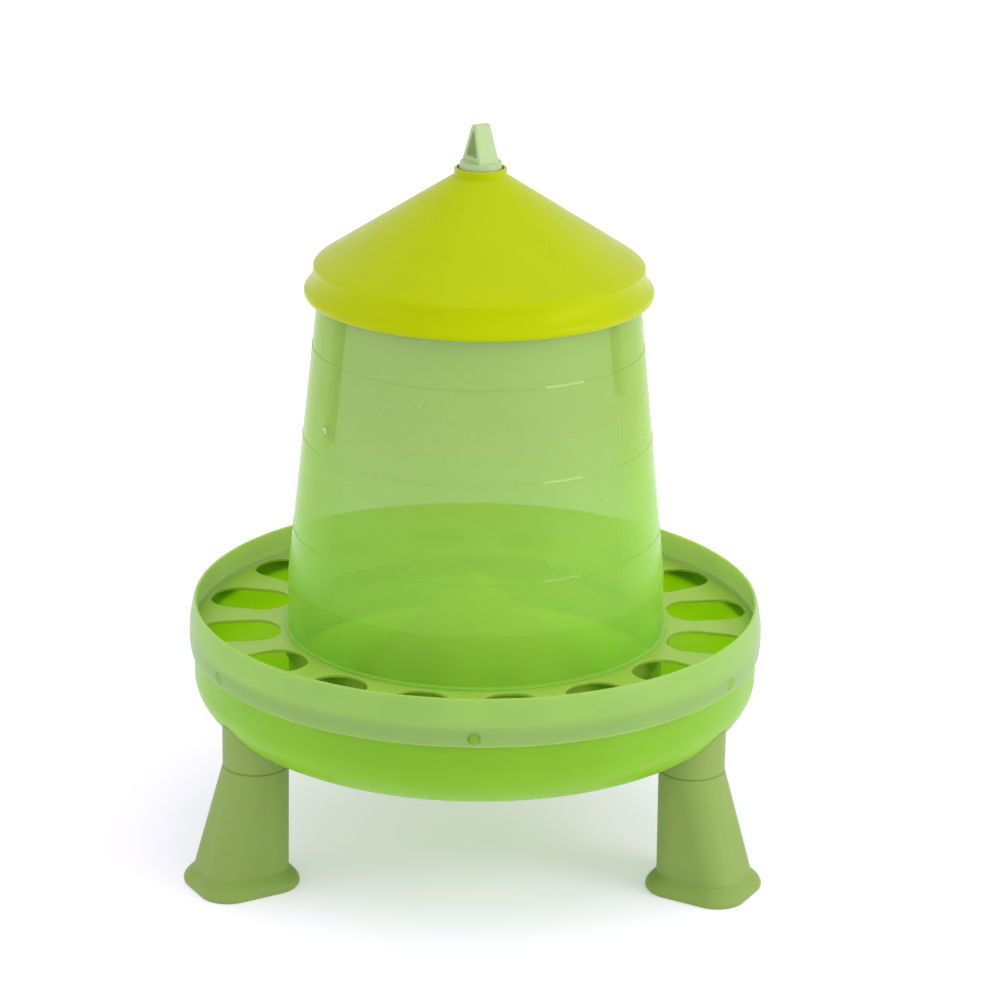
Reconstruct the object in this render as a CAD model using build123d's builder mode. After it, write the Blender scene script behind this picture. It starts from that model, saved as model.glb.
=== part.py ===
from build123d import *
import os
from math import acos, cos, radians, sin

# Gravity feeder for hens: a translucent hopper under a conical lid stands over a spreader cone in a
# round feed pan. A ring with feed holes snaps over the pan's rim and three legs carry the pan.
# Millimetres, +Z up, front towards -Y. Every piece is modelled about the feeder's upright axis and
# then moved by FEEDER_AXIS, which centres the whole object's footprint on the origin.

os.makedirs("parts", exist_ok=True)

# ---- driving sizes ----
WALL = 2.0                # moulded wall of lid, hopper and feed ring
PAN_WALL = 2.5
SEAT_GAP = 0.05           # between faces that rest on each other
FIT = 0.08                # radial clearance of each leg on its spigot

# feed ring
RING_R = 192.6            # widest radius of the rounded outer band
RING_MID_Z = 154.0
BRIM_R = 189.6            # radius of the band's top edge
RING_TOP_Z = 172.2
SKIRT_R = 192.0
SKIRT_Z = 141.8           # lower edge of the skirt that covers the pan's rim
PLATE_Z = 154.1           # top of the perforated plate
PLATE_T = 2.2
HOLES = 16
HOLE_CENTRE_R = 158.9
HOLE_LENGTH = 53.6
HOLE_WIDTH = 39.6
HOLE_CORNER = 17.5
HOLE_START = -13.6        # angle of the first feed hole, degrees from +X
HOLE_EDGE_R = 0.6

# hopper
FOOT_R = 126.2            # outer radius of the cylindrical foot
FOOT_TOP_Z = 190.0        # where the taper begins
FOOT_Z = 119.0            # lower edge, above the pan floor
HOPPER_SLOPE = 0.106      # radius lost per millimetre of height
HOPPER_TOP_Z = 402.5
RIM_W = 3.8               # rolled rim that the lid rests on
RIM_H = 3.0
FLANGE_R = 128.9          # flange that lies on the plate and hides the gap round the foot
FLANGE_T = 1.6
MARK_Z = (349.0, 288.0, 224.0)
MARK_R = 0.4              # half-round level marks

# bayonet: lugs on the hopper's foot rest on a seat inside the ring's collar, under three catches
BAYONET_ANGLES = (90.0, 210.0, 330.0)
COLLAR_GAP = 2.2          # between the foot and the collar, wide enough for the lugs to drop through
COLLAR_WALL = 2.0
COLLAR_Z = 140.0
SEAT_INNER_GAP = 0.7      # between the foot and the seat or catches
LUG_Z = 144.5
LUG_H = 5.0
LUG_ARC = 5.0             # half the angle one lug covers
LUG_GAP = 0.4
CATCH_ARC = 7.0           # half the angle one catch covers
STOP_ARC = 2.2            # each catch ends in a stop that the lug turns against

# lid
LID_RIM_R = 114.2         # where the flare turns over into the lip
LID_RIM_Z = 387.6
LID_LIP_R = 114.7         # widest radius of the lip
LID_LIP_Z = 385.0
LID_EDGE_R = 113.7        # lower edge
LID_Z = 382.5
LID_FLARE_R = 110.2       # a point on the hollow flare between band and lip
LID_FLARE_Z = 393.0
LID_BAND_R = 108.5
LID_BAND_Z = 398.5
SHOULDER_Z = 402.4
CONE_R = 104.8
CONE_Z = 405.7
NECK_R = 17.2
NECK_BORE_R = 15.4
NECK_Z = 462.2
NECK_TOP_Z = 467.0
NECK_EDGE = 0.6

# hanging handle
HANDLE_ANGLE = 30.0
STEM_R = 14.6
STEM_Z = 444.0
STEM_TOP_Z = 463.0
LOOP_Z = 471.0
LOOP_TOP_Z = 495.5
LOOP_SPREAD = 23.0
LOOP_TOP_SPREAD = 6.6
LOOP_W = 14.7
LOOP_TOP_W = 11.0
LOOP_CROWN = 2.5          # height of the loop's rounded top
STRAP_T = 3.3
EYE_TOP_W = 2.6           # width of the loop's opening at its rounded top
EYE_CROWN = 1.2
EYE_TOP_DROP = 4.8        # from the loop's top down to the top of its opening
SHOULDER_STEP = 1.2       # how much the stem narrows up to the loop
ARM_W = 9.0
ARM_T = 3.0
ARM_GAP = 0.6             # between the arms and the hopper's wall
ARM_Z = 297.0
BRIDGE_T = 5.0            # depth of the bridge that joins the stem to the arms
BRIDGE_DROP = 4.0         # vertical gap between the bridge and the lid's inner cone
BRIDGE_INNER_R = 10.6     # the bridge starts inside the stem
PEG_Z = 305.0
PEG_R = 2.7
PEG_HOLE_R = 3.0

# feed pan
PAN_R = 189.6
PAN_RIM_R = 188.8
PAN_Z = 88.8              # underside of the floor
CORNER_A = 47.7           # half-axes of the elliptical corner between wall and floor
CORNER_B = 34.2
SNAP_COUNT = 6
SNAP_R = 3.5
SNAP_WINDOW_R = 3.9
SNAP_Z = 147.7

# spreader cone
SPREAD_R = 106.0
SPREAD_EDGE = 2.2
SPREAD_TIP_R = 6.0
SPREAD_TIP_Z = 185.0
SPREAD_TOP_Z = 188.5
SPREAD_WALL = 2.2
POST_R = 6.5

# legs
LEG_R = 166.0             # distance of each leg's top from the feeder's axis
LEG_ANGLES = {"left": 210.0, "right": 330.0, "rear": 90.0}
SOCKET_R = 21.8
SOCKET_TOP_Z = 129.0
SHOULDER_CUT = ((176.0, 125.5), (196.0, 102.7))   # slanted cut over the outer side: radius, height
SEAM_Z = 83.0
SEAM_CHAMFER = 0.7
SPIGOT_R = 18.0
SPIGOT_L = 20.0
SPIGOT_WALL = 3.0
SPIGOT_ROOF = 7.0
BORE_L = 23.0             # depth of the bore in the leg that takes the spigot
LEG_WALL = 2.6
BODY_CORNER = 16.0        # corner radius of the leg just above its foot
FLARE_Z = 12.5            # where the foot begins to spread
FOOT_IN = 142.2
FOOT_OUT = 212.4
FOOT_HALF = 31.0
FOOT_CORNER = 20.0
FOOT_STEP = 6.3           # how far the foot stands out from the leg
FOOT_CURVE = ((0.0, 1.0), (3.5, 0.0), (6.5, 1.2), (9.5, 3.6), (FLARE_Z, FOOT_STEP))   # height, drawn in by

# screws
SCREW_R = 2.0
SCREW_HOLE_R = 2.05
SCREW_CLEAR_R = 2.4
SCREW_HEAD_R = 4.4
SCREW_HEAD_H = 2.6
SCREW_L = 13.0
CONE_SCREW_L = 22.0
DRIVE_L = 5.0
DRIVE_W = 1.0
DRIVE_D = 1.2
SPOT_DEPTH = 0.5          # flat sunk into the pan under each screw head

# ---- derived sizes ----
AXIS_Y = (RING_R - FOOT_OUT) / 2
FEEDER_AXIS = Location((0, AXIS_Y, 0))
COLLAR_R = FOOT_R + COLLAR_GAP
SEAT_R = FOOT_R + SEAT_INNER_GAP
PLATE_BOTTOM_Z = PLATE_Z - PLATE_T
PAN_FLOOR_Z = PAN_Z + PAN_WALL
CORNER_R = PAN_R - CORNER_A
CORNER_Z = PAN_Z + CORNER_B
HOPPER_TOP_R = FOOT_R - HOPPER_SLOPE * (HOPPER_TOP_Z - FOOT_TOP_Z)
LID_SLOPE = (NECK_Z - CONE_Z) / (CONE_R - NECK_R)
LID_DROP = WALL * (1 + LID_SLOPE ** 2) ** 0.5
LID_REST_Z = HOPPER_TOP_Z + SEAT_GAP
LAND_R = HOPPER_TOP_R - 0.6   # inner edge of the land that rests on the hopper's rim


def hopper_r(z):
    """Outer radius of the hopper's tapered wall at height z."""
    return FOOT_R - HOPPER_SLOPE * (z - FOOT_TOP_Z)


def lid_inner_z(r):
    """Height of the lid's inner cone at radius r."""
    return CONE_Z + (CONE_R - r) * LID_SLOPE - LID_DROP


def bowl_outline(grow, rim_r, rim_z, floor_z):
    """Edges of the pan's curved outline, grown by grow, from the axis out to its rim."""
    Line((0, floor_z), (CORNER_R, floor_z))
    EllipticalCenterArc((CORNER_R, CORNER_Z), CORNER_A + grow, CORNER_B + grow, start_angle=270, arc_size=90)
    Line((PAN_R + grow, CORNER_Z), (rim_r, rim_z))


def screw(plane, length):
    """A pan-head screw: the head's underside lies on plane, the shank follows the plane's normal."""
    with BuildPart() as body:
        with BuildSketch(plane):
            Circle(SCREW_R)
        extrude(amount=length)
        with BuildSketch(plane):
            Circle(SCREW_HEAD_R)
        extrude(amount=-SCREW_HEAD_H)
        fillet(body.edges().sort_by(Axis(plane.origin, plane.z_dir))[0], SCREW_HEAD_H * 0.6)
        with BuildSketch(plane.offset(-SCREW_HEAD_H)):
            Rectangle(DRIVE_L, DRIVE_W)
            Rectangle(DRIVE_W, DRIVE_L)
        extrude(amount=DRIVE_D, mode=Mode.SUBTRACT)
    return body.part


# ---- feed ring: rounded band, perforated plate and the collar that takes the hopper's foot ----
with BuildPart() as feed_ring:
    with BuildSketch(Plane.XZ):
        with BuildLine():
            ThreePointArc((SKIRT_R, SKIRT_Z), (RING_R, RING_MID_Z), (BRIM_R, RING_TOP_Z))
            ThreePointArc((BRIM_R, RING_TOP_Z), (BRIM_R - WALL / 2, RING_TOP_Z + WALL / 2),
                          (BRIM_R - WALL, RING_TOP_Z))
            ThreePointArc((BRIM_R - WALL, RING_TOP_Z), (RING_R - WALL, RING_MID_Z), (SKIRT_R - WALL, SKIRT_Z))
            Line((SKIRT_R - WALL, SKIRT_Z), (SKIRT_R, SKIRT_Z))
        make_face()
        with Locations((COLLAR_R, PLATE_BOTTOM_Z)):
            Rectangle(RING_R - WALL / 2 - COLLAR_R, PLATE_T, align=(Align.MIN, Align.MIN))
        with Locations((COLLAR_R, COLLAR_Z)):
            Rectangle(COLLAR_WALL, PLATE_Z - COLLAR_Z, align=(Align.MIN, Align.MIN))
        with Locations((SEAT_R, COLLAR_Z)):
            Rectangle(COLLAR_R + COLLAR_WALL - SEAT_R, LUG_Z - COLLAR_Z, align=(Align.MIN, Align.MIN))
    revolve(axis=Axis.Z)
    with BuildSketch(Plane.XY.offset(PLATE_BOTTOM_Z)):
        with PolarLocations(HOLE_CENTRE_R, HOLES, start_angle=HOLE_START):
            RectangleRounded(HOLE_LENGTH, HOLE_WIDTH, HOLE_CORNER)
    extrude(amount=PLATE_T, mode=Mode.SUBTRACT)
    plate_edges = feed_ring.edges().filter_by_position(Axis.Z, PLATE_Z - 0.1, PLATE_Z + 0.1)
    fillet(plate_edges.filter_by(lambda edge: edge.length < HOLE_LENGTH), HOLE_EDGE_R)
    with Locations((0, 0, SNAP_Z)):
        with PolarLocations(PAN_R, SNAP_COUNT, start_angle=-90):
            Cylinder(SNAP_WINDOW_R, RING_R - PAN_R + 1, rotation=(0, 90, 0),
                     align=(Align.CENTER, Align.CENTER, Align.MIN), mode=Mode.SUBTRACT)
    for angle in BAYONET_ANGLES:
        with BuildSketch(Plane.XZ.rotated((0, 0, angle - CATCH_ARC))):
            with Locations((SEAT_R, LUG_Z + LUG_H + LUG_GAP)):
                Rectangle(COLLAR_R + COLLAR_WALL / 2 - SEAT_R, PLATE_Z - LUG_Z - LUG_H - LUG_GAP,
                          align=(Align.MIN, Align.MIN))
        revolve(axis=Axis.Z, revolution_arc=2 * CATCH_ARC)
        with BuildSketch(Plane.XZ.rotated((0, 0, angle - CATCH_ARC - STOP_ARC / 2))):
            with Locations((SEAT_R, LUG_Z)):
                Rectangle(COLLAR_R + COLLAR_WALL / 2 - SEAT_R, PLATE_Z - LUG_Z, align=(Align.MIN, Align.MIN))
        revolve(axis=Axis.Z, revolution_arc=STOP_ARC)

feed_ring.part.label = "feed_ring"
feed_ring.part.move(FEEDER_AXIS)
export_step(feed_ring.part, "parts/feed_ring.step")


# ---- hopper: tapered wall, rolled rim, flange, level marks, bayonet lugs and two peg holes ----
with BuildPart() as hopper:
    with BuildSketch(Plane.XZ):
        with BuildLine():
            Polyline(
                (FOOT_R - WALL, FOOT_Z),
                (FOOT_R, FOOT_Z),
                (FOOT_R, FOOT_TOP_Z),
                (HOPPER_TOP_R, HOPPER_TOP_Z),
                (HOPPER_TOP_R - WALL, HOPPER_TOP_Z),
                (FOOT_R - WALL, FOOT_TOP_Z),
                close=True,
            )
        make_face()
        with Locations((HOPPER_TOP_R - WALL, HOPPER_TOP_Z)):
            Rectangle(RIM_W, RIM_H, align=(Align.MIN, Align.MAX))
        with Locations((FOOT_R - WALL / 2, PLATE_Z + SEAT_GAP)):
            Rectangle(FLANGE_R - FOOT_R + WALL / 2, FLANGE_T, align=(Align.MIN, Align.MIN))
        with Locations([(hopper_r(z), z) for z in MARK_Z]):
            Circle(MARK_R)
    revolve(axis=Axis.Z)
    flange_edge = hopper.edges().filter_by(GeomType.CIRCLE).sort_by(SortBy.RADIUS)[-2:].sort_by(Axis.Z)[-1]
    fillet(flange_edge, FLANGE_T * 0.6)
    rim_edges = hopper.edges().filter_by(GeomType.CIRCLE).sort_by(Axis.Z)[-4:].sort_by(SortBy.RADIUS)[-2:]
    fillet(rim_edges, RIM_H * 0.4)
    for angle in BAYONET_ANGLES:
        with BuildSketch(Plane.XZ.rotated((0, 0, angle - LUG_ARC))):
            with Locations((FOOT_R - WALL / 2, LUG_Z + SEAT_GAP)):
                Rectangle(COLLAR_GAP + WALL / 2 - LUG_GAP, LUG_H - SEAT_GAP, align=(Align.MIN, Align.MIN))
        revolve(axis=Axis.Z, revolution_arc=2 * LUG_ARC)
    with Locations((0, 0, PEG_Z)):
        with PolarLocations(0, 1, start_angle=HANDLE_ANGLE):
            Cylinder(PEG_HOLE_R, 3 * FOOT_R, rotation=(0, 90, 0), mode=Mode.SUBTRACT)

hopper.part.label = "hopper"
hopper.part.move(FEEDER_AXIS)
export_step(hopper.part, "parts/hopper.step")


# ---- lid: cone with a neck for the handle, rounded shoulder and flared rim ----
with BuildPart() as lid:
    with BuildSketch(Plane.XZ):
        with BuildLine():
            Polyline((NECK_BORE_R, lid_inner_z(NECK_BORE_R)), (NECK_BORE_R, NECK_TOP_Z),
                     (NECK_R - NECK_EDGE, NECK_TOP_Z), (NECK_R, NECK_TOP_Z - NECK_EDGE), (NECK_R, NECK_Z),
                     (CONE_R, CONE_Z))
            TangentArc((CONE_R, CONE_Z), (LID_BAND_R, SHOULDER_Z), tangent=(1, -LID_SLOPE))
            Line((LID_BAND_R, SHOULDER_Z), (LID_BAND_R, LID_BAND_Z))
            ThreePointArc((LID_BAND_R, LID_BAND_Z), (LID_FLARE_R, LID_FLARE_Z), (LID_RIM_R, LID_RIM_Z))
            ThreePointArc((LID_RIM_R, LID_RIM_Z), (LID_LIP_R, LID_LIP_Z), (LID_EDGE_R, LID_Z))
            Polyline((LID_EDGE_R, LID_Z), (LID_EDGE_R - WALL, LID_Z), (LID_RIM_R - WALL, LID_RIM_Z - WALL))
            ThreePointArc((LID_RIM_R - WALL, LID_RIM_Z - WALL), (LID_FLARE_R - WALL, LID_FLARE_Z - WALL / 2),
                          (LID_BAND_R - WALL, LID_BAND_Z))
            Polyline((LID_BAND_R - WALL, LID_BAND_Z), (LID_BAND_R - WALL, LID_REST_Z), (LAND_R, LID_REST_Z),
                     (LAND_R, lid_inner_z(LAND_R)), (NECK_BORE_R, lid_inner_z(NECK_BORE_R)))
        make_face()
    revolve(axis=Axis.Z)

lid.part.label = "lid"
lid.part.move(FEEDER_AXIS)
export_step(lid.part, "parts/lid.step")


# ---- hanging handle: loop above the lid, stem through its neck, two arms down inside the hopper ----
crown_z = LOOP_TOP_Z - LOOP_CROWN
eye_top_z = LOOP_TOP_Z - EYE_TOP_DROP
eye_half = LOOP_SPREAD / 2 - 1.35 * STRAP_T      # the straps lean, so they take more than their own thickness
with BuildPart() as loop:
    with BuildSketch(Plane.YZ):
        with BuildLine():
            Polyline((-LOOP_TOP_SPREAD / 2, crown_z), (-LOOP_SPREAD / 2, LOOP_Z), (LOOP_SPREAD / 2, LOOP_Z),
                     (LOOP_TOP_SPREAD / 2, crown_z))
            ThreePointArc((LOOP_TOP_SPREAD / 2, crown_z), (0, LOOP_TOP_Z), (-LOOP_TOP_SPREAD / 2, crown_z))
        make_face()
        with BuildLine():
            Polyline((-EYE_TOP_W / 2, eye_top_z - EYE_CROWN), (-eye_half, LOOP_Z + STRAP_T),
                     (eye_half, LOOP_Z + STRAP_T), (EYE_TOP_W / 2, eye_top_z - EYE_CROWN))
            ThreePointArc((EYE_TOP_W / 2, eye_top_z - EYE_CROWN), (0, eye_top_z),
                          (-EYE_TOP_W / 2, eye_top_z - EYE_CROWN))
        make_face(mode=Mode.SUBTRACT)
    extrude(amount=LOOP_W / 2, both=True)
    with BuildSketch(Plane.XZ):
        with BuildLine():
            Polyline((-LOOP_W / 2, LOOP_Z), (LOOP_W / 2, LOOP_Z), (LOOP_TOP_W / 2, LOOP_TOP_Z),
                     (-LOOP_TOP_W / 2, LOOP_TOP_Z), close=True)
        make_face()
    extrude(amount=LOOP_SPREAD, both=True, mode=Mode.INTERSECT)
    fillet(loop.edges().filter_by_position(Axis.Z, LOOP_Z + 1, LOOP_TOP_Z), 0.7)

arm_top_r = HOPPER_TOP_R - WALL - ARM_GAP
arm_low_r = hopper_r(ARM_Z) - WALL - ARM_GAP
bend_r = arm_top_r - 4.0                          # where the bridge turns down into the arms
with BuildPart() as hanging_handle:
    with BuildSketch(Plane.XZ):
        with BuildLine():
            Polyline((0, STEM_Z), (STEM_R, STEM_Z), (STEM_R, STEM_TOP_Z), (STEM_R - SHOULDER_STEP, LOOP_Z),
                     (0, LOOP_Z), close=True)
        make_face()
    revolve(axis=Axis.Z)
    with BuildSketch(Plane.XZ):
        with BuildLine():
            Polyline(
                (BRIDGE_INNER_R, lid_inner_z(BRIDGE_INNER_R) - BRIDGE_DROP),
                (bend_r, lid_inner_z(bend_r) - BRIDGE_DROP),
                (arm_top_r, HOPPER_TOP_Z - ARM_T),
                (arm_low_r, ARM_Z),
                (arm_low_r - ARM_T, ARM_Z),
                (arm_top_r - ARM_T, HOPPER_TOP_Z - 1.8 * ARM_T),
                (bend_r - 0.4 * BRIDGE_T, lid_inner_z(bend_r) - BRIDGE_DROP - 0.84 * BRIDGE_T),
                (BRIDGE_INNER_R, lid_inner_z(BRIDGE_INNER_R) - BRIDGE_DROP - BRIDGE_T),
                close=True,
            )
        make_face()
        mirror(about=Plane.YZ)
    extrude(amount=ARM_W / 2, both=True)
    peg_root_r = hopper_r(PEG_Z) - WALL - ARM_GAP - ARM_T / 2
    for side in (1, -1):
        with BuildSketch(Plane.YZ.offset(side * peg_root_r)):
            with Locations((0, PEG_Z)):
                Circle(PEG_R)
        extrude(amount=side * (WALL + ARM_GAP + ARM_T / 2))
    add(loop.part)

hanging_handle.part.label = "hanging_handle"
hanging_handle.part.move(FEEDER_AXIS * Location((0, 0, 0), (0, 0, HANDLE_ANGLE)))
export_step(hanging_handle.part, "parts/hanging_handle.step")


# ---- feed pan: bowl with snap buttons round its rim and holes for the screws ----
corner_t = acos((LEG_R - CORNER_R) / CORNER_A)
screw_point = (LEG_R, 0, CORNER_Z - CORNER_B * sin(corner_t))
screw_normal = (cos(corner_t) / CORNER_A, 0, -sin(corner_t) / CORNER_B)
leg_screw_plane = Plane(origin=screw_point, x_dir=(0, 1, 0), z_dir=screw_normal)
head_plane = leg_screw_plane.offset(SPOT_DEPTH - PAN_WALL)
with BuildPart() as screw_cutter:
    with BuildSketch(head_plane):
        Circle(SCREW_CLEAR_R)
    extrude(amount=PAN_WALL + 1)
    with BuildSketch(head_plane):
        Circle(SCREW_HEAD_R + 0.6)
    extrude(amount=-2 * PAN_WALL)

with BuildPart() as feed_pan:
    with BuildSketch(Plane.XZ):
        with BuildLine():
            bowl_outline(0, PAN_RIM_R, PLATE_BOTTOM_Z, PAN_Z)
            Line((PAN_RIM_R, PLATE_BOTTOM_Z), (PAN_RIM_R - PAN_WALL, PLATE_BOTTOM_Z))
            Line((PAN_RIM_R - PAN_WALL, PLATE_BOTTOM_Z), (PAN_R - PAN_WALL, CORNER_Z))
            EllipticalCenterArc((CORNER_R, CORNER_Z), CORNER_A - PAN_WALL, CORNER_B - PAN_WALL,
                                start_angle=270, arc_size=90)
            Polyline((CORNER_R, PAN_FLOOR_Z), (0, PAN_FLOOR_Z), (0, PAN_Z))
        make_face()
    revolve(axis=Axis.Z)
    with Locations((0, 0, SNAP_Z)):
        with PolarLocations(PAN_RIM_R - PAN_WALL / 2, SNAP_COUNT, start_angle=-90):
            Cylinder(SNAP_R, RING_R - PAN_RIM_R + PAN_WALL / 2, rotation=(0, 90, 0),
                     align=(Align.CENTER, Align.CENTER, Align.MIN))
    with BuildSketch(Plane.XY.offset(PAN_Z)):
        Circle(SCREW_CLEAR_R)
    extrude(amount=PAN_WALL, mode=Mode.SUBTRACT)
    with PolarLocations(0, len(LEG_ANGLES), start_angle=LEG_ANGLES["rear"]):
        add(screw_cutter.part, mode=Mode.SUBTRACT)

feed_pan.part.label = "feed_pan"
feed_pan.part.move(FEEDER_AXIS)
export_step(feed_pan.part, "parts/feed_pan.step")


# ---- spreader cone on the pan floor, with a post for its screw ----
SPREAD_SLOPE = (SPREAD_TIP_Z - PAN_FLOOR_Z - SPREAD_EDGE) / (SPREAD_R - SPREAD_TIP_R)
SPREAD_DROP = SPREAD_WALL * (1 + SPREAD_SLOPE ** 2) ** 0.5
spread_in_r = SPREAD_R - 1.2 * SPREAD_WALL
spread_in_z = PAN_FLOOR_Z + SPREAD_EDGE + (SPREAD_R - spread_in_r) * SPREAD_SLOPE - SPREAD_DROP
with BuildPart() as spreader_cone:
    with BuildSketch(Plane.XZ):
        with BuildLine():
            Polyline((0, PAN_FLOOR_Z), (0, SPREAD_TOP_Z))
            TangentArc((0, SPREAD_TOP_Z), (SPREAD_TIP_R, SPREAD_TIP_Z), tangent=(1, 0))
            Polyline(
                (SPREAD_TIP_R, SPREAD_TIP_Z),
                (SPREAD_R, PAN_FLOOR_Z + SPREAD_EDGE),
                (SPREAD_R, PAN_FLOOR_Z),
                (spread_in_r, PAN_FLOOR_Z),
                (spread_in_r, spread_in_z),
                (POST_R, spread_in_z + (spread_in_r - POST_R) * SPREAD_SLOPE),
                (POST_R, PAN_FLOOR_Z),
                (0, PAN_FLOOR_Z),
            )
        make_face()
    revolve(axis=Axis.Z)
    with BuildSketch(Plane.XY.offset(PAN_FLOOR_Z)):
        Circle(SCREW_HOLE_R)
    extrude(amount=CONE_SCREW_L, mode=Mode.SUBTRACT)

spreader_cone.part.label = "spreader_cone"
spreader_cone.part.move(FEEDER_AXIS)
export_step(spreader_cone.part, "parts/spreader_cone.step")

cone_screw = screw(Plane.XY.offset(PAN_Z), CONE_SCREW_L)
cone_screw.label = "cone_screw"
cone_screw.move(FEEDER_AXIS)
export_step(cone_screw, "parts/cone_screw.step")


# ---- leg socket: collar cut to the bowl's curve, with a hollow spigot that the leg pushes onto ----
with BuildPart() as leg_socket:
    with BuildSketch(Plane.XY.offset(SEAM_Z)):
        with Locations((LEG_R, 0)):
            Circle(SOCKET_R)
    extrude(amount=SOCKET_TOP_Z - SEAM_Z)
    chamfer(leg_socket.edges().sort_by(Axis.Z)[0], SEAM_CHAMFER)
    with BuildSketch(Plane.XY.offset(SEAM_Z - SPIGOT_L)):
        with Locations((LEG_R, 0)):
            Circle(SPIGOT_R)
    extrude(amount=SPIGOT_L)
    chamfer(leg_socket.edges().sort_by(Axis.Z)[0], 1.0)
    with BuildSketch(Plane.XY.offset(SEAM_Z - SPIGOT_L)):
        with Locations((LEG_R, 0)):
            Circle(SPIGOT_R - SPIGOT_WALL)
    extrude(amount=SPIGOT_L - SPIGOT_ROOF, mode=Mode.SUBTRACT)
    with BuildSketch(Plane.XZ):
        with BuildLine():
            bowl_outline(SEAT_GAP, PAN_R + SEAT_GAP, SOCKET_TOP_Z, PAN_Z - SEAT_GAP)
            Polyline((PAN_R + SEAT_GAP, SOCKET_TOP_Z), (0, SOCKET_TOP_Z), (0, PAN_Z - SEAT_GAP))
        make_face()
    revolve(axis=Axis.Z, mode=Mode.SUBTRACT)
    with BuildSketch(Plane.XZ):
        with BuildLine():
            Polyline(*SHOULDER_CUT, (SHOULDER_CUT[1][0], SOCKET_TOP_Z), (SHOULDER_CUT[0][0], SOCKET_TOP_Z),
                     close=True)
        make_face()
    revolve(axis=Axis.Z, mode=Mode.SUBTRACT)
    with BuildSketch(leg_screw_plane):
        Circle(SCREW_HOLE_R)
    extrude(amount=SCREW_L - PAN_WALL + 1, both=True, mode=Mode.SUBTRACT)

leg_screw = screw(head_plane, SCREW_L)


# ---- leg: hollow flared shell, round where it meets the socket, rounded square at the foot ----
def leg_section(height, inner, outer, half, corner):
    """Rounded rectangle across the leg, from radius inner to outer, on the plane at height."""
    with BuildSketch(Plane.XY.offset(height)) as section:
        with Locations(((inner + outer) / 2, 0)):
            RectangleRounded(outer - inner, 2 * half, corner)
    return section.sketch


def body_section(height, inset):
    """The leg's outline at height, drawn in by inset: round at the seam, rounded square at the foot."""
    t = (height - FLARE_Z) / (SEAM_Z - FLARE_Z)
    inner = FOOT_IN + FOOT_STEP + (LEG_R - SOCKET_R - FOOT_IN - FOOT_STEP) * t
    outer = FOOT_OUT - FOOT_STEP + (LEG_R + SOCKET_R - FOOT_OUT + FOOT_STEP) * t
    half = FOOT_HALF - FOOT_STEP + (SOCKET_R - FOOT_HALF + FOOT_STEP) * t
    corner = BODY_CORNER + (SOCKET_R - 0.1 - BODY_CORNER) * t
    return leg_section(height, inner + inset, outer - inset, half - inset, corner - inset)


def foot_section(height, step):
    """The spread foot's outline at height, drawn in by step."""
    return leg_section(height, FOOT_IN + step, FOOT_OUT - step, FOOT_HALF - step, FOOT_CORNER - step / 2)


with BuildPart() as leg:
    loft([body_section(FLARE_Z, 0), body_section(SEAM_Z, 0)])
    chamfer(leg.edges().group_by(Axis.Z)[-1], SEAM_CHAMFER)
    loft([foot_section(height, step) for height, step in FOOT_CURVE])
    loft([body_section(0, LEG_WALL), body_section(SEAM_Z - BORE_L, LEG_WALL)], mode=Mode.SUBTRACT)
    with BuildSketch(Plane.XY.offset(SEAM_Z - BORE_L)):
        with Locations((LEG_R, 0)):
            Circle(SPIGOT_R + FIT)
    extrude(amount=BORE_L, mode=Mode.SUBTRACT)

for side, angle in LEG_ANGLES.items():
    place = FEEDER_AXIS * Location((0, 0, 0), (0, 0, angle))
    for name, shape in (("leg_socket_", leg_socket.part), ("leg_screw_", leg_screw), ("leg_", leg.part)):
        piece = shape.moved(place)
        piece.label = name + side
        export_step(piece, "parts/" + name + side + ".step")
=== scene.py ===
import math

import bpy
from mathutils import Matrix, Vector


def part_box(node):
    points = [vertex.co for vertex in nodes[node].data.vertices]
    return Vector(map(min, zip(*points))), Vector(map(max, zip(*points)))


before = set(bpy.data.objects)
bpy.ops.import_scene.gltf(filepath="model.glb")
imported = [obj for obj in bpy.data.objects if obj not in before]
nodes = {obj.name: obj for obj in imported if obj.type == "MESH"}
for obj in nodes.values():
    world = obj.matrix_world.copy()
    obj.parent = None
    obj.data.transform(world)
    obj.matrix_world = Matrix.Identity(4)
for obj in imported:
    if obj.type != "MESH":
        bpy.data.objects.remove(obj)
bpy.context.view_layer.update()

# ---- the feeder's upright axis, taken from the frame ----
ring_low, ring_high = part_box("feed_ring")
AXIS = Vector(((ring_low.x + ring_high.x) / 2, (ring_low.y + ring_high.y) / 2, 0))


def srgb(red, green, blue):
    """Linear colour from 0-255 display values."""
    def channel(value):
        value /= 255
        return value / 12.92 if value <= 0.04045 else ((value + 0.055) / 1.055) ** 2.4
    return (channel(red), channel(green), channel(blue), 1)


# ---- materials ----
# Noise settings are (cells per metre, detail, roughness). Most values lie between NOISE_LOW and NOISE_HIGH.
NOISE_LOW = 0.3
NOISE_HIGH = 0.7
CLOUD_NOISE = (9, 4, 0.55)
GLOSS_NOISE = (60, 3, 0.6)
PEEL_NOISE = (900, 2, 0.5)
WAVE_NOISE = (35, 2, 0.4)
STEEL_COLOUR_NOISE = (300, 3, 0.6)
STEEL_GLOSS_NOISE = (500, 2, 0.5)
FLOOR_NOISE = (2, 2, 0.5)

# How far a wall has to turn away before it counts as seen edge on.
EDGE_BLEND = 0.3
EDGE_START = 0.25
EDGE_END = 0.8

PLASTIC_IOR = 1.49
WAVES_PER_PEEL = 4        # depth of the slow waves, as a multiple of the orange peel's depth
SCATTER_RADIUS = (0.8, 1.0, 0.25)
SCATTER_DEPTH = 0.02

STEEL_DARK = (150, 150, 146)
STEEL_LIGHT = (190, 190, 186)
STEEL_ROUGH = (0.28, 0.42)

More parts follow.
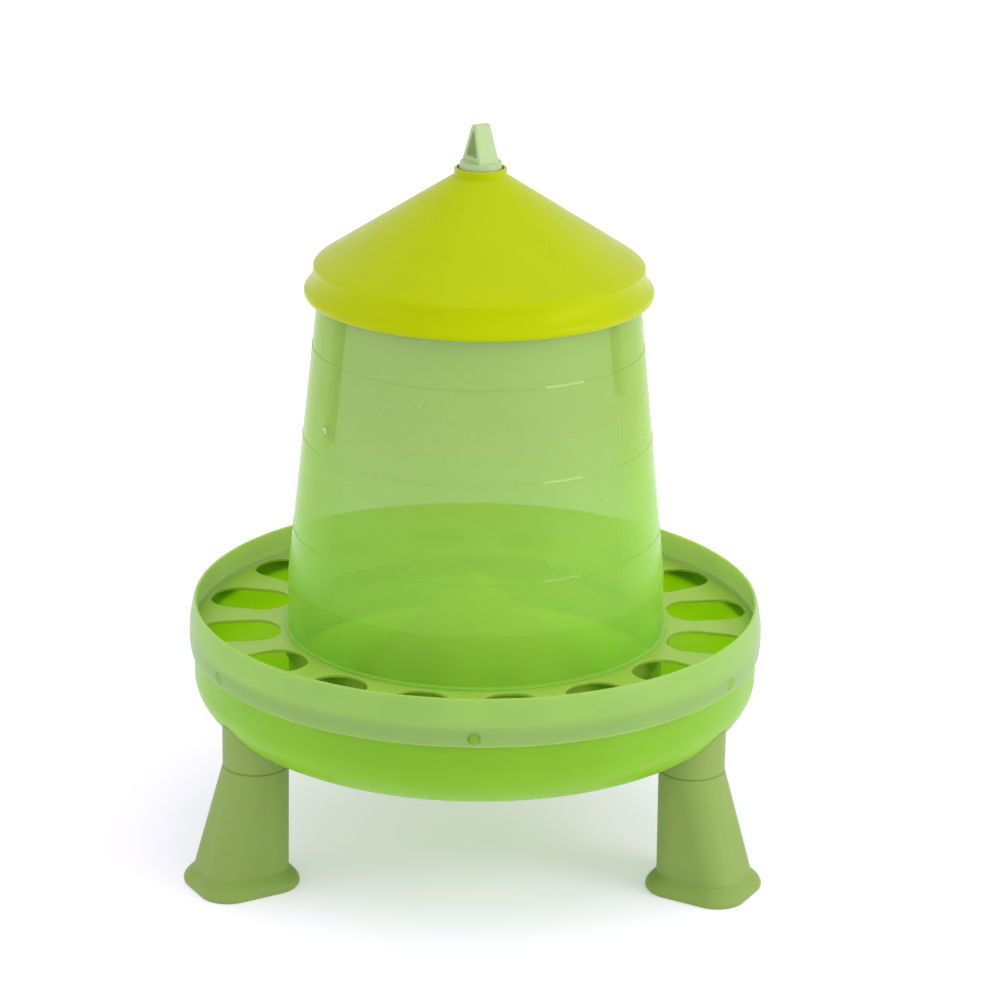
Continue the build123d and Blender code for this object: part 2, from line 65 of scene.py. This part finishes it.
# Painted highlights: pale dashes of colour along the hopper's level marks, to the right of the middle of its
# front, in place of the glints of the lamps on the marks' ridges.
MARK_HEIGHTS = (0.349, 0.288, 0.224)
DASH_HALF_HEIGHT = 0.0007
DASH_MIDDLE = 0.055
DASH_HALF_LENGTH = 0.0125
MARK_HIGHLIGHT_COLOUR = (0.50, 0.76, 0.20)
FRONT_DEPTH = 0.1


class Nodes:
    """A new node material with a Principled shader, and short helpers for its node tree."""

    def __init__(self, name):
        self.material = bpy.data.materials.new(name)
        self.material.use_nodes = True
        self.tree = self.material.node_tree
        self.shader = next(n for n in self.tree.nodes if n.type == "BSDF_PRINCIPLED")
        self.place = self.add("ShaderNodeTexCoord").outputs["Object"]

    def add(self, kind, **settings):
        node = self.tree.nodes.new(kind)
        for key, value in settings.items():
            setattr(node, key, value)
        return node

    def link(self, out, into):
        self.tree.links.new(out, into)

    def noise(self, scale, detail, roughness):
        """Noise value in 0-1; scale is in cells per metre."""
        texture = self.add("ShaderNodeTexNoise")
        texture.inputs["Scale"].default_value = scale
        texture.inputs["Detail"].default_value = detail
        texture.inputs["Roughness"].default_value = roughness
        self.link(self.place, texture.inputs["Vector"])
        return texture.outputs["Fac"]

    def ramp(self, value, low_colour, high_colour):
        """Colours a noise value, from low_colour at NOISE_LOW to high_colour at NOISE_HIGH."""
        node = self.add("ShaderNodeValToRGB")
        low, high = node.color_ramp.elements
        low.position = NOISE_LOW
        low.color = low_colour
        high.position = NOISE_HIGH
        high.color = high_colour
        self.link(value, node.inputs["Fac"])
        return node.outputs["Color"]

    def map_range(self, value, low, high, to_low=0.0, to_high=1.0):
        node = self.add("ShaderNodeMapRange")
        node.inputs["From Min"].default_value = low
        node.inputs["From Max"].default_value = high
        node.inputs["To Min"].default_value = to_low
        node.inputs["To Max"].default_value = to_high
        self.link(value, node.inputs["Value"])
        return node.outputs["Result"]

    def spread(self, value, low, high):
        """Maps a noise value onto low-high."""
        return self.map_range(value, NOISE_LOW, NOISE_HIGH, low, high)

    def outwards(self, near, far):
        """0 at radius near from the feeder's axis, 1 at radius far."""
        shift = self.add("ShaderNodeVectorMath", operation="SUBTRACT")
        shift.inputs[1].default_value = AXIS
        self.link(self.place, shift.inputs[0])
        flat = self.add("ShaderNodeVectorMath", operation="MULTIPLY")
        flat.inputs[1].default_value = (1, 1, 0)
        self.link(shift.outputs["Vector"], flat.inputs[0])
        length = self.add("ShaderNodeVectorMath", operation="LENGTH")
        self.link(flat.outputs["Vector"], length.inputs[0])
        return self.map_range(length.outputs["Value"], near, far)

    def upwards(self, low, high):
        """0 at height low, 1 at height high."""
        split = self.add("ShaderNodeSeparateXYZ")
        self.link(self.place, split.inputs["Vector"])
        return self.map_range(split.outputs["Z"], low, high)

    def within(self, axis, centre, half_width):
        """1 where the place's axis coordinate is within half_width of centre, and 0 elsewhere."""
        split = self.add("ShaderNodeSeparateXYZ")
        self.link(self.place, split.inputs["Vector"])
        test = self.add("ShaderNodeMath", operation="COMPARE")
        test.inputs[1].default_value = centre
        test.inputs[2].default_value = half_width
        self.link(split.outputs[axis], test.inputs[0])
        return test.outputs[0]

    def calculate(self, operation, first, second):
        node = self.add("ShaderNodeMath", operation=operation)
        self.link(first, node.inputs[0])
        self.link(second, node.inputs[1])
        return node.outputs[0]

    def facing(self, front, edge):
        """front where the surface is seen face on, edge where it is seen edge on."""
        weight = self.add("ShaderNodeLayerWeight")
        weight.inputs["Blend"].default_value = EDGE_BLEND
        return self.map_range(weight.outputs["Facing"], EDGE_START, EDGE_END, front, edge)

    def mix(self, factor, first, second):
        node = self.add("ShaderNodeMix", data_type="RGBA")
        self.link(factor, node.inputs[0])
        self.link(first, node.inputs[6])
        self.link(second, node.inputs[7])
        return node.outputs[2]

    def bump(self, value, distance, below=None):
        """Normal of a surface raised by value times distance, on top of the normal below."""
        node = self.add("ShaderNodeBump")
        node.inputs["Strength"].default_value = 1.0
        node.inputs["Distance"].default_value = distance
        self.link(value, node.inputs["Height"])
        if below is not None:
            self.link(below, node.inputs["Normal"])
        return node.outputs["Normal"]


def shade(colour, factor):
    return tuple(channel * factor for channel in colour) + (1,)


def painted_mark_highlights(m):
    """1 on the painted highlight dashes of the level marks, and 0 elsewhere."""
    mark_highlights = m.within("Z", MARK_HEIGHTS[0], DASH_HALF_HEIGHT)
    for height in MARK_HEIGHTS[1:]:
        mark_highlights = m.calculate("ADD", mark_highlights, m.within("Z", height, DASH_HALF_HEIGHT))
    mark_highlights = m.calculate("MULTIPLY", mark_highlights, m.within("X", AXIS.x + DASH_MIDDLE, DASH_HALF_LENGTH))
    return m.calculate("MULTIPLY", mark_highlights, m.within("Y", AXIS.y - FRONT_DEPTH, FRONT_DEPTH))


def moulded_plastic(name, colour, rough, variation=0.05, specular=0.35, tint=(1, 1, 1), outer=None,
                    upper=None, opacity=1.0, edge_opacity=None, scatter=0.0, peel=0.00004, mark_highlights=False):
    """Injection-moulded plastic: cloudy colour, uneven gloss and a fine orange-peel surface.

    rough is the lowest and highest roughness, and variation how far the clouds stray from the colour. outer
    is (colour, near radius, far radius) where the colour changes outwards from the feeder's axis, and upper
    is (colour, low height, high height) where it changes upwards. A thin see-through wall has an opacity
    below 1, which rises to edge_opacity where it is seen edge on, as in any clear sheet. scatter is how much
    of the light goes into the wall and comes out elsewhere, or on its other face. peel is the depth of the
    orange peel. mark_highlights adds painted highlights, pale dashes of colour on the level marks.
    """
    m = Nodes(name)
    cloud = m.noise(*CLOUD_NOISE)

    def clouded(middle):
        return m.ramp(cloud, shade(middle, 1 - variation), shade(middle, 1 + variation))

    base = clouded(colour)
    # Colour that changes outwards; on the feed ring this gives painted light and shade.
    if outer:
        outer_colour, near, far = outer
        base = m.mix(m.outwards(near, far), base, clouded(outer_colour))
    # Colour that changes with height; on the hopper this is a painted glow low down.
    if upper:
        upper_colour, low, high = upper
        base = m.mix(m.upwards(low, high), base, clouded(upper_colour))
    # Painted highlights: pale dashes of colour on the level marks, in place of the glints on their ridges.
    if mark_highlights:
        base = m.mix(painted_mark_highlights(m), base, clouded(MARK_HIGHLIGHT_COLOUR))
    m.link(base, m.shader.inputs["Base Color"])
    m.link(m.spread(m.noise(*GLOSS_NOISE), *rough), m.shader.inputs["Roughness"])
    fine = m.bump(m.noise(*PEEL_NOISE), peel)
    waves = m.bump(m.noise(*WAVE_NOISE), peel * WAVES_PER_PEEL, below=fine)
    m.link(waves, m.shader.inputs["Normal"])
    m.shader.inputs["IOR"].default_value = PLASTIC_IOR
    m.shader.inputs["Specular IOR Level"].default_value = specular
    m.shader.inputs["Specular Tint"].default_value = tint + (1,)
    m.shader.inputs["Alpha"].default_value = opacity
    m.shader.inputs["Subsurface Weight"].default_value = scatter
    m.shader.inputs["Subsurface Radius"].default_value = SCATTER_RADIUS
    m.shader.inputs["Subsurface Scale"].default_value = SCATTER_DEPTH
    if edge_opacity is not None:
        m.link(m.facing(opacity, edge_opacity), m.shader.inputs["Alpha"])
    return m.material


def brushed_steel(name):
    m = Nodes(name)
    colour = m.ramp(m.noise(*STEEL_COLOUR_NOISE), srgb(*STEEL_DARK), srgb(*STEEL_LIGHT))
    m.link(colour, m.shader.inputs["Base Color"])
    m.shader.inputs["Metallic"].default_value = 1.0
    m.link(m.spread(m.noise(*STEEL_GLOSS_NOISE), *STEEL_ROUGH), m.shader.inputs["Roughness"])
    return m.material


lid_plastic = moulded_plastic(
    "lid_plastic", (0.40, 0.48, 0.001), rough=(0.24, 0.34), specular=0.2, tint=(0.9, 1.0, 0.12))
pan_plastic = moulded_plastic(
    "pan_plastic", (0.20, 0.45, 0.018), rough=(0.32, 0.42), specular=0.3, tint=(0.9, 1.0, 0.6), scatter=1.0)
cone_plastic = moulded_plastic(
    "cone_plastic", (0.80, 0.90, 0.02), rough=(0.34, 0.44), tint=(0.9, 1.0, 0.6))
leg_plastic = moulded_plastic(
    "leg_plastic", (0.23, 0.34, 0.07), rough=(0.45, 0.58), variation=0.04, specular=0.3)
# Painted glow: the hopper is a brighter, yellower green below its upper colour, in place of light bounced up
# from the pan and the cone inside.
hopper_plastic = moulded_plastic(
    "hopper_plastic", (0.36, 0.76, 0.08), rough=(0.22, 0.28), variation=0.03, specular=0.2,
    upper=((0.34, 0.55, 0.07), 0.16, 0.33), opacity=0.48, edge_opacity=0.9, peel=0.00001, mark_highlights=True)
# Painted light and shade: the ring's one plastic is split into a lighter copy on the plate and a darker copy
# on the outer skirt, matched to how light falls on each.
ring_plastic = moulded_plastic(
    "ring_plastic", (0.46, 0.78, 0.09), rough=(0.28, 0.38), variation=0.03,
    outer=((0.29, 0.52, 0.11), 0.186, 0.190), opacity=0.8, scatter=0.5)
handle_plastic = moulded_plastic(
    "handle_plastic", (0.43, 0.57, 0.27), rough=(0.34, 0.44), variation=0.03, opacity=0.9)
steel = brushed_steel("screw_steel")

FINISHES = {
    "lid": lid_plastic,
    "hanging_handle": handle_plastic,
    "hopper": hopper_plastic,
    "feed_ring": ring_plastic,
    "feed_pan": pan_plastic,
    "spreader_cone": cone_plastic,
}


def finish_for(node):
    if "screw" in node:
        return steel
    return FINISHES.get(node, leg_plastic)


for name, node in nodes.items():
    node.data.materials.clear()
    node.data.materials.append(finish_for(name))

# ---- studio ----
# The floor is near white. Its colour leans to violet around the feeder, which evens out the green light
# that the feeder throws on it, and is neutral farther off.
FLOOR_HALF = 8.0
FLOOR_NEAR = ((0.80, 0.74, 0.92, 1), (0.83, 0.77, 0.95, 1))
FLOOR_FAR = ((0.84, 0.84, 0.84, 1), (0.87, 0.87, 0.87, 1))
FLOOR_BLEND = (0.4, 1.2)  # radii between which the near colour turns into the far one
FLOOR_GLOW = 0.30
WORLD_STRENGTH = 0.85
WHITE = (1, 1, 1, 1)

floor_corners = [(x * FLOOR_HALF, y * FLOOR_HALF, 0) for x, y in ((-1, -1), (1, -1), (1, 1), (-1, 1))]
floor_mesh = bpy.data.meshes.new("floor")
floor_mesh.from_pydata(floor_corners, [], [(0, 1, 2, 3)])
floor = bpy.data.objects.new("floor", floor_mesh)
bpy.context.scene.collection.objects.link(floor)
floor_paint = Nodes("floor_paint")
floor_grain = floor_paint.noise(*FLOOR_NOISE)
near_colour = floor_paint.ramp(floor_grain, *FLOOR_NEAR)
far_colour = floor_paint.ramp(floor_grain, *FLOOR_FAR)
floor_colour = floor_paint.mix(floor_paint.outwards(*FLOOR_BLEND), near_colour, far_colour)
floor_paint.link(floor_colour, floor_paint.shader.inputs["Base Color"])
floor_paint.shader.inputs["Roughness"].default_value = 0.9
floor_paint.shader.inputs["Specular IOR Level"].default_value = 0.1
floor_paint.shader.inputs["Emission Color"].default_value = WHITE
floor_paint.shader.inputs["Emission Strength"].default_value = FLOOR_GLOW
floor_mesh.materials.append(floor_paint.material)

world = bpy.data.worlds.new("studio")
world.use_nodes = True
backdrop = world.node_tree.nodes["Background"]
backdrop.inputs["Color"].default_value = WHITE
backdrop.inputs["Strength"].default_value = WORLD_STRENGTH
bpy.context.scene.world = world


MIDDLE = AXIS + Vector((0, 0, 0.25))


def softbox(name, place, width, length, power):
    """A rectangular lamp at place that points at the middle of the feeder."""
    light = bpy.data.lights.new(name, "AREA")
    light.shape = "RECTANGLE"
    light.size = width
    light.size_y = length
    light.energy = power
    holder = bpy.data.objects.new(name, light)
    bpy.context.scene.collection.objects.link(holder)
    holder.location = place
    holder.rotation_euler = (MIDDLE - Vector(place)).to_track_quat("-Z", "Y").to_euler()


softbox("overhead", (0.3, -0.2, 2.4), width=2.2, length=2.2, power=12)
softbox("right_box", (2.2, -1.1, 1.1), width=1.2, length=2.0, power=24)
softbox("left_box", (-2.2, -0.9, 1.0), width=1.2, length=2.0, power=7)

# ---- camera ----
ELEVATION = math.radians(20.35)
DISTANCE = 2.300
LENS = 122.9
SENSOR_WIDTH = 36
TARGET_HEIGHT = 0.174
# The camera turns a little away from its target, and rolls, to frame the feeder.
AIM_RIGHT = math.radians(0.38)
AIM_UP = math.radians(1.56)
ROLL = math.radians(0.66)

target = AXIS + Vector((0, 0, TARGET_HEIGHT))
place = target + DISTANCE * Vector((0, -math.cos(ELEVATION), math.sin(ELEVATION)))
facing = (target - place).to_track_quat("-Z", "Y").to_matrix().to_4x4()
nudge = Matrix.Rotation(AIM_UP, 4, "X") @ Matrix.Rotation(-AIM_RIGHT, 4, "Y")
camera_data = bpy.data.cameras.new("camera")
camera_data.lens = LENS
camera_data.sensor_width = SENSOR_WIDTH
camera = bpy.data.objects.new("camera", camera_data)
bpy.context.scene.collection.objects.link(camera)
camera.matrix_world = Matrix.Translation(place) @ facing @ nudge @ Matrix.Rotation(ROLL, 4, "Z")
bpy.context.scene.camera = camera
bpy.context.scene.view_settings.view_transform = "Standard"
